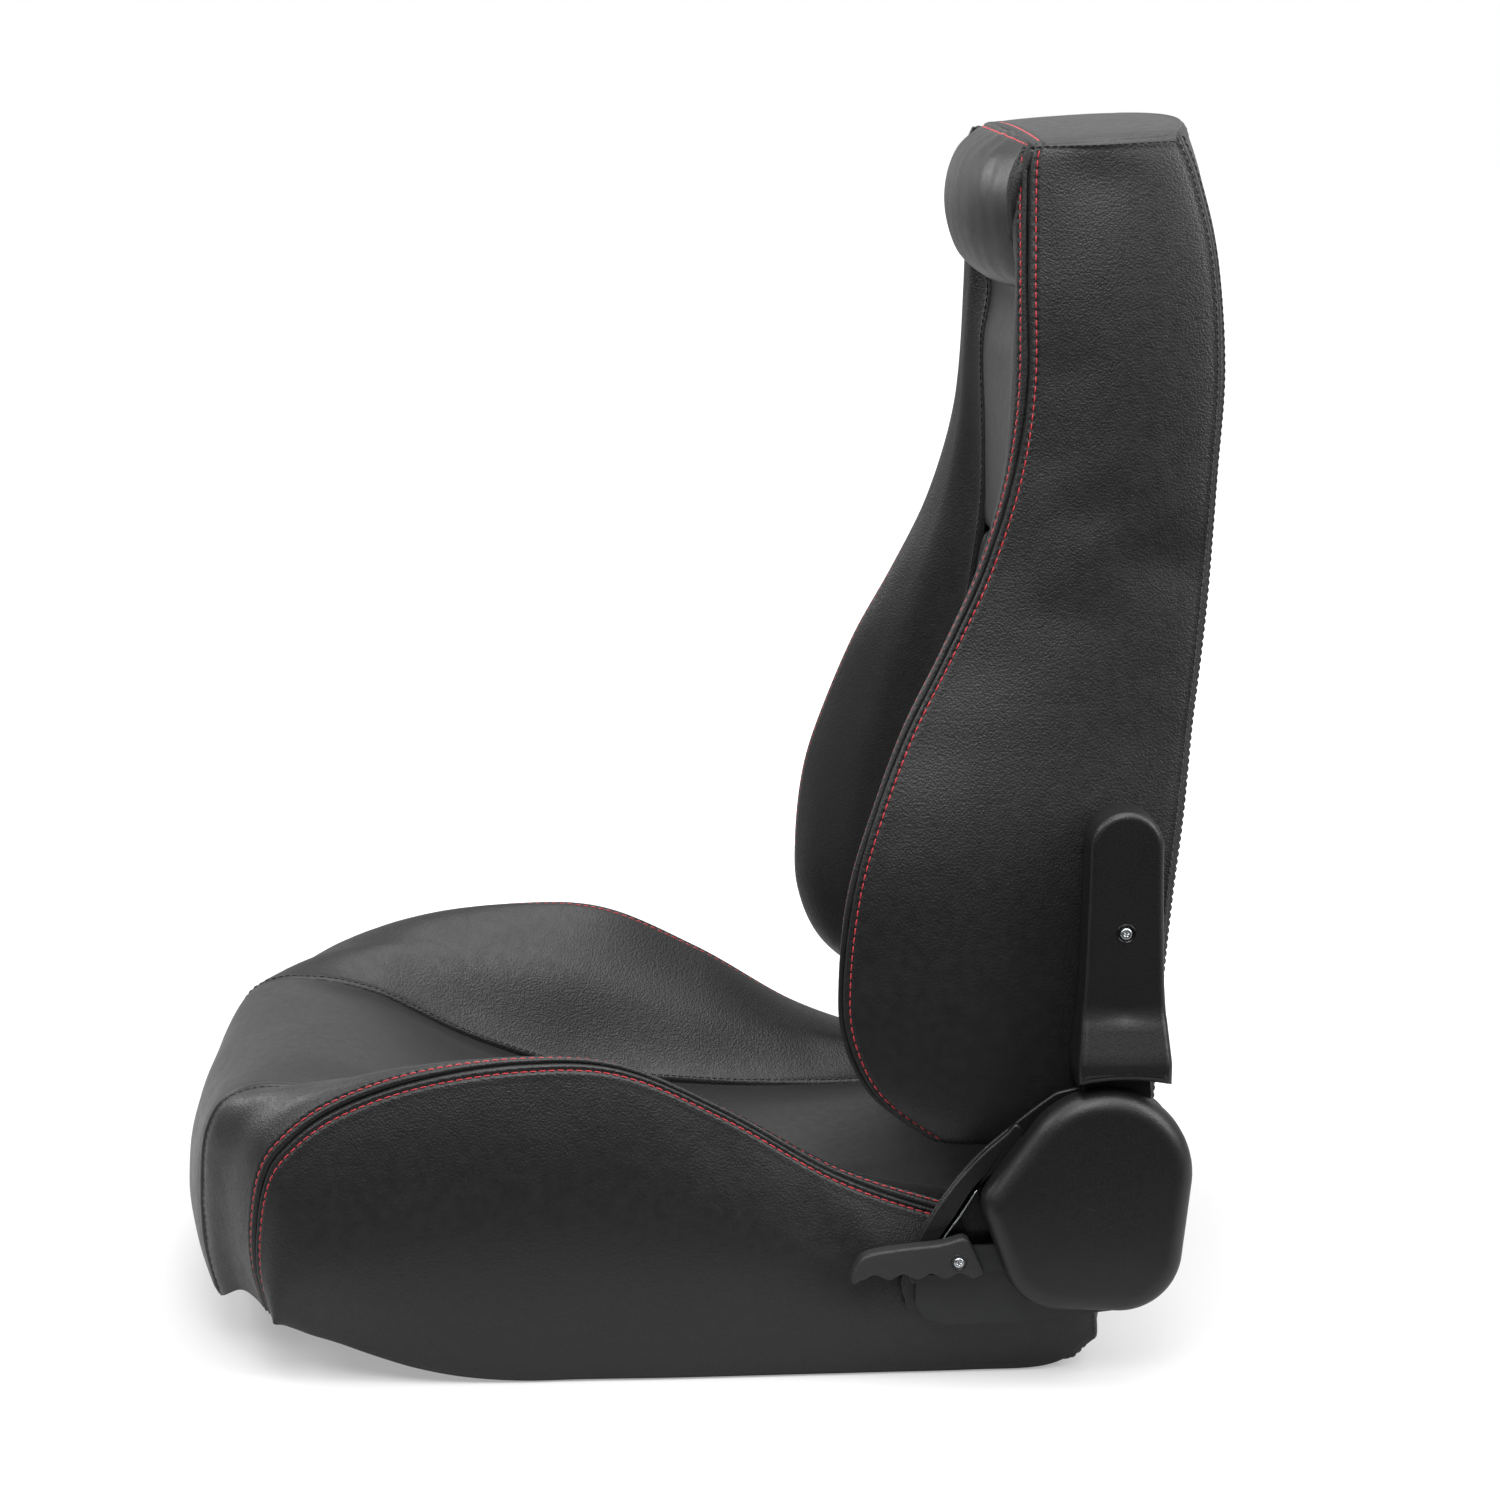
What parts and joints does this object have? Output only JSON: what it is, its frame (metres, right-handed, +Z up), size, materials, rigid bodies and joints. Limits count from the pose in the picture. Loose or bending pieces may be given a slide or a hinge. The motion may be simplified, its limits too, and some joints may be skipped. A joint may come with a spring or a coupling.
{
  "type": "reclining sport seat",
  "caption": "Reclining bucket seat with side bolsters, a fixed headrest, a toothed recliner, a release lever and threaded mounts underneath.",
  "frame": {"origin": "centre of the four mounting holes, in the plane of the feet's undersides", "axes": "+Z up; the seat's front faces -Y and the occupant's left, with the release lever, is +X"},
  "size_m": [0.572, 0.7597, 0.88],
  "materials": {
    "bolster_vinyl": "satin",
    "insert_vinyl": "satin",
    "foam": "matte",
    "painted_steel": "satin",
    "zinc_steel": "satin",
    "trim_plastic": "satin",
    "grip_plastic": "matte"
  },
  "bodies": {
    "seat_base": {"mounting_feet": "painted_steel", "rail_left": "painted_steel", "rail_right": "painted_steel", "front_cross_tube": "painted_steel", "rear_cross_tube": "painted_steel", "side_bracket_left": "painted_steel", "side_bracket_right": "painted_steel", "seat_springs": "zinc_steel", "cushion_foam": "foam", "cushion_insert_cover": "insert_vinyl", "cushion_bolster_cover_left": "bolster_vinyl", "cushion_bolster_cover_right": "bolster_vinyl", "cushion_side_cover_left": "bolster_vinyl", "cushion_side_cover_right": "bolster_vinyl", "cushion_rear_cover": "bolster_vinyl", "recliner_plate_left": "painted_steel", "recliner_plate_right": "painted_steel", "recliner_spacers": "zinc_steel", "recliner_bolts": "zinc_steel", "pivot_pins": "zinc_steel", "pawl_pins": "zinc_steel", "backing_cover_left": "trim_plastic", "backing_cover_right": "trim_plastic", "outer_cover_left": "trim_plastic", "outer_cover_right": "trim_plastic", "spiral_spring_left": "zinc_steel", "spiral_spring_right": "zinc_steel", "lever_spring": "zinc_steel"},
    "lever": {"lever_arm": "painted_steel", "lever_grip": "grip_plastic", "grip_screw": "zinc_steel", "release_shaft": "zinc_steel", "release_cams": "zinc_steel"},
    "pawl_l": {"pawl_left": "zinc_steel"},
    "pawl_r": {"pawl_right": "zinc_steel"},
    "backrest": {"back_hoop": "painted_steel", "lower_back_tube": "painted_steel", "upper_back_tube": "painted_steel", "back_springs": "zinc_steel", "back_foam": "foam", "headrest_foam": "foam", "back_insert_lower": "insert_vinyl", "back_insert_upper": "insert_vinyl", "headrest_cover": "insert_vinyl", "wing_cover_left": "bolster_vinyl", "wing_cover_right": "bolster_vinyl", "back_side_cover_left": "bolster_vinyl", "back_side_cover_right": "bolster_vinyl", "back_top_cover": "bolster_vinyl", "back_rear_cover": "bolster_vinyl", "arm_plate_left": "painted_steel", "arm_plate_right": "painted_steel", "arm_cover_left": "trim_plastic", "arm_cover_right": "trim_plastic", "arm_spacers": "zinc_steel", "arm_bolts": "zinc_steel", "arm_cover_screws": "zinc_steel"}
  },
  "joints": [
    {"name": "recline", "type": "hinge", "parent": "seat_base", "child": "backrest", "pos_m": [0, 0.279, 0.158], "axis": [-1, 0, 0], "range_deg": [-15, 62]},
    {"name": "release_lever", "type": "hinge", "parent": "seat_base", "child": "lever", "pos_m": [0, 0.232, 0.122], "axis": [-1, 0, 0], "range_deg": [0, 20], "stiffness_Nm_per_rad": 2, "springref_deg": -17.19},
    {"name": "pawl_left_turn", "type": "hinge", "parent": "seat_base", "child": "pawl_l", "pos_m": [0, 0.301, 0.102], "axis": [1, 0, 0], "range_deg": [0, 8]},
    {"name": "pawl_right_turn", "type": "hinge", "parent": "seat_base", "child": "pawl_r", "pos_m": [0, 0.301, 0.102], "axis": [1, 0, 0], "range_deg": [0, 8]}
  ],
  "couplings": [
    {"joint": "pawl_left_turn", "follows": "release_lever", "ratio": 0.4},
    {"joint": "pawl_right_turn", "follows": "release_lever", "ratio": 0.4}
  ]
}
